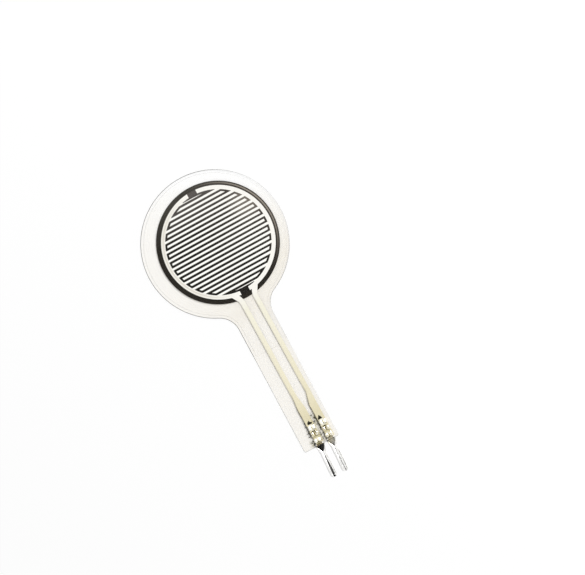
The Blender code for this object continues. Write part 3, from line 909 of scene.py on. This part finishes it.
# %% Colour and roughness of tin
ROLLING_STRETCH = (6000.0, 300.0, 6000.0)
OXIDE_SCALE = 900.0
OXIDE_LIMITS = (0.52, 0.66)
CRIMP_START = (-46.5 * MM, -45.0 * MM)
BRIGHT_TIN = ((0.95, 0.945, 0.92), (0.99, 0.985, 0.97))
CRIMP_TIN = (0.97, 0.95, 0.86)
OXIDE_TIN = (0.62, 0.55, 0.38)
OLIVE_TIN = (0.71, 0.62, 0.35)
OLIVE_SHARE = 0.6
PAINTED_GLARE_TIN = (1.0, 0.98, 0.87)
DARK_TIN = (0.04, 0.035, 0.02)
MIRROR_ROUGHNESS = (0.08, 0.2)
OXIDE_ROUGHNESS = 0.25
SATIN_ROUGHNESS = 0.28

tin, tree, shader = new_material("tin_plating")
spot = object_spot(tree)
place = axes(tree, spot)
rolled = add_node(tree, "Mapping", {"vector_type": "POINT"}, Vector=spot, Scale=ROLLING_STRETCH)
lines = noise(tree, rolled.outputs[0], 1.0, detail=2.0)
oxide = noise(tree, spot, OXIDE_SCALE, detail=3.0, roughness=0.6)
crimped = fade(tree, place["Y"], *CRIMP_START)
patch = product(tree, fade(tree, oxide, *OXIDE_LIMITS), crimped)
flux = place_group(tree, stains_and_shade)
color = mix_colors(tree, crimped, mix_colors(tree, oxide, *BRIGHT_TIN), CRIMP_TIN)
color = mix_colors(tree, patch, color, OXIDE_TIN)
color = mix_colors(tree, product(tree, flux["Olive"], OLIVE_SHARE), color, OLIVE_TIN)
# Painted highlight on the first and third tines.
color = mix_colors(tree, flux["Glare_And_Satin"], color, PAINTED_GLARE_TIN)
rough = fade(tree, lines, 0.0, 1.0, *MIRROR_ROUGHNESS)
rough = total(
    tree, rough, product(tree, patch, OXIDE_ROUGHNESS), product(tree, flux["Glare_And_Satin"], SATIN_ROUGHNESS)
)
# Dark marks on the tin: torn ink, painted shadow and the painted dark reflection of the left neck.
plug(tree, shader.inputs["Base Color"], mix_colors(tree, flux["Dark"], color, DARK_TIN))
plug(tree, shader.inputs["Metallic"], 1.0)
plug(tree, shader.inputs["Roughness"], rough)
print("tin has a roughness from", MIRROR_ROUGHNESS[0], "up")

# %% [markdown]
# ## Dark strips on the tabs
#
# In the photograph the right contact is rolled over a few degrees, so its flats
# mirror the white sky and the left ones the dark card. A slope in the bump
# height does that. It spares a thin strip along the fold, which stays level and
# so draws dark. The left tab is rolled as well where it leaves its neck, so it
# is white there, and its dark strip widens towards the tip. A slow wobble makes
# the edges of the strips ragged.

# %% Slopes in the tin
TAB_LEAN = math.radians(2.5)
TAB_MIDDLE = -49.9 * MM
CONTACT_PITCH = 2.54 * MM
LEFT_FOLD = -0.62 * MM
RIGHT_FOLD = LEFT_FOLD + CONTACT_PITCH
BETWEEN_CONTACTS = LEFT_FOLD + CONTACT_PITCH / 2
CRIMP_SLOPE = 0.112
TAB_SLOPE = 0.17
LEFT_ROLL = (-46.85 * MM, -47.05 * MM, 0.0, TAB_SLOPE)
RIGHT_ROLL = (-46.8 * MM, -47.6 * MM, CRIMP_SLOPE, TAB_SLOPE)
LEFT_STRIP = (-47.9 * MM, -50.6 * MM, 0.02 * MM, 0.21 * MM)
RIGHT_STRIP = (-47.6 * MM, -52.4 * MM, 0.0, 0.065 * MM)
ROLLING_HEIGHT = 0.0012 * MM
WOBBLE_SCALE = 3000.0
WOBBLE_ON_TABS = (-47.0 * MM, -47.8 * MM, 0.0, 0.042 * MM)


def rolled_height(fold, roll, strip):
    off_fold = minus(tree, upright, fold)
    past = minus(tree, math_node(tree, "ABSOLUTE", off_fold), fade(tree, place["Y"], *strip))
    past = product(tree, math_node(tree, "MAXIMUM", past, 0.0), math_node(tree, "SIGN", off_fold))
    return product(tree, past, fade(tree, place["Y"], *roll))


lean = product(tree, minus(tree, place["Y"], TAB_MIDDLE), math.tan(TAB_LEAN))
upright = minus(tree, place["X"], lean)
is_right = math_node(tree, "GREATER_THAN", place["X"], BETWEEN_CONTACTS)
left_height = rolled_height(LEFT_FOLD, LEFT_ROLL, LEFT_STRIP)
right_height = rolled_height(RIGHT_FOLD, RIGHT_ROLL, RIGHT_STRIP)
height = mix_values(tree, is_right, left_height, right_height)
wobble = product(tree, noise(tree, spot, WOBBLE_SCALE, detail=1.0), fade(tree, place["Y"], *WOBBLE_ON_TABS))
height = total(tree, product(tree, lines, ROLLING_HEIGHT), height, wobble)
bump = add_node(tree, "Bump", Strength=1.0, Distance=1.0, Height=height)
plug(tree, shader.inputs["Normal"], bump.outputs[0])
print("tabs lean by", round(math.degrees(TAB_LEAN), 1), "degrees")

# %% [markdown]
# ## Contacts
#
# The contacts are stamped from thin strip and tinned. Stamping leaves slightly
# rounded edges, and they are what catches the light. So a copy of each solid
# is merged, its sharp edges are bevelled and it is shaded smooth, which keeps
# the size and gives the metal real highlights.

# %% Bevelled contacts
STAMPED_EDGE = 0.02 * MM
MERGE_DISTANCE = 0.001 * MM
LEVEL_ANGLE = math.radians(1.0)
SMOOTH_ANGLE = math.radians(50.0)
FLAT_WEIGHT = 90


def bevelled_contact(node_name):
    shape = bmesh.new()
    shape.from_mesh(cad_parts[node_name].data)
    bmesh.ops.remove_doubles(shape, verts=shape.verts, dist=MERGE_DISTANCE)
    bmesh.ops.dissolve_limit(shape, angle_limit=LEVEL_ANGLE, verts=shape.verts, edges=shape.edges)
    bmesh.ops.recalc_face_normals(shape, faces=shape.faces)
    sharp = [edge for edge in shape.edges if edge.is_manifold and edge.calc_face_angle() > SHARP_ANGLE]
    bmesh.ops.bevel(
        shape, geom=sharp, offset=STAMPED_EDGE, segments=2, profile=0.5, affect="EDGES", material=-1,
        clamp_overlap=True,
    )
    piece = thing_from(shape, node_name + "_metal")
    piece.data.shade_smooth()
    piece.data.set_sharp_from_angle(angle=SMOOTH_ANGLE)
    piece.data.materials.append(tin)
    flats = piece.modifiers.new("flats_stay_flat", "WEIGHTED_NORMAL")
    flats.weight = FLAT_WEIGHT
    flats.keep_sharp = True
    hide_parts(node_name)
    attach(piece, "root")
    print(piece.name, "has", len(piece.data.polygons), "faces")


for contact in ("contact_left", "contact_right"):
    bevelled_contact(contact)

# %% [markdown]
# ## Floor
#
# The sensor lies on plain white paper. White by lamps alone would burn out the
# sensor, so part of the white is only for the camera and for mirrors, and the
# other part still takes the shadows.

# %% White floor
FLOOR_HALF_WIDTH = 1200.0 * MM
FLOOR_DROP = 0.01 * MM
PAPER_WHITE = (0.75, 0.75, 0.75)
PAPER_GLOW = 0.26

plane = bmesh.new()
bmesh.ops.create_grid(plane, x_segments=1, y_segments=1, size=FLOOR_HALF_WIDTH)
bmesh.ops.translate(plane, vec=(0.0, 0.0, -FLOOR_DROP), verts=plane.verts)
floor = thing_from(plane, "floor")
paper, tree, shader = new_material("white_paper")
rays = add_node(tree, "LightPath").outputs
seen = math_node(tree, "MAXIMUM", rays["Is Camera Ray"], rays["Is Glossy Ray"])
seen = math_node(tree, "MAXIMUM", seen, rays["Is Transmission Ray"])
plug(tree, shader.inputs["Base Color"], PAPER_WHITE)
plug(tree, shader.inputs["Roughness"], 1.0)
plug(tree, shader.inputs["Specular IOR Level"], 0.0)
plug(tree, shader.inputs["Emission Color"], WHITE)
plug(tree, shader.inputs["Emission Strength"], product(tree, seen, PAPER_GLOW))
floor.data.materials.append(paper)
print("floor is", round(2 * FLOOR_HALF_WIDTH / MM), "mm wide")

# %% [markdown]
# ## Settings
#
# Clear layers are passed by each ray, and there are ten faces of them, so the
# limit for see-through faces goes up.

# %% Settings
SEE_THROUGH_FACES = 32

scene.view_settings.view_transform = "Standard"
scene.cycles.transparent_max_bounces = SEE_THROUGH_FACES
bpy.context.view_layer.update()
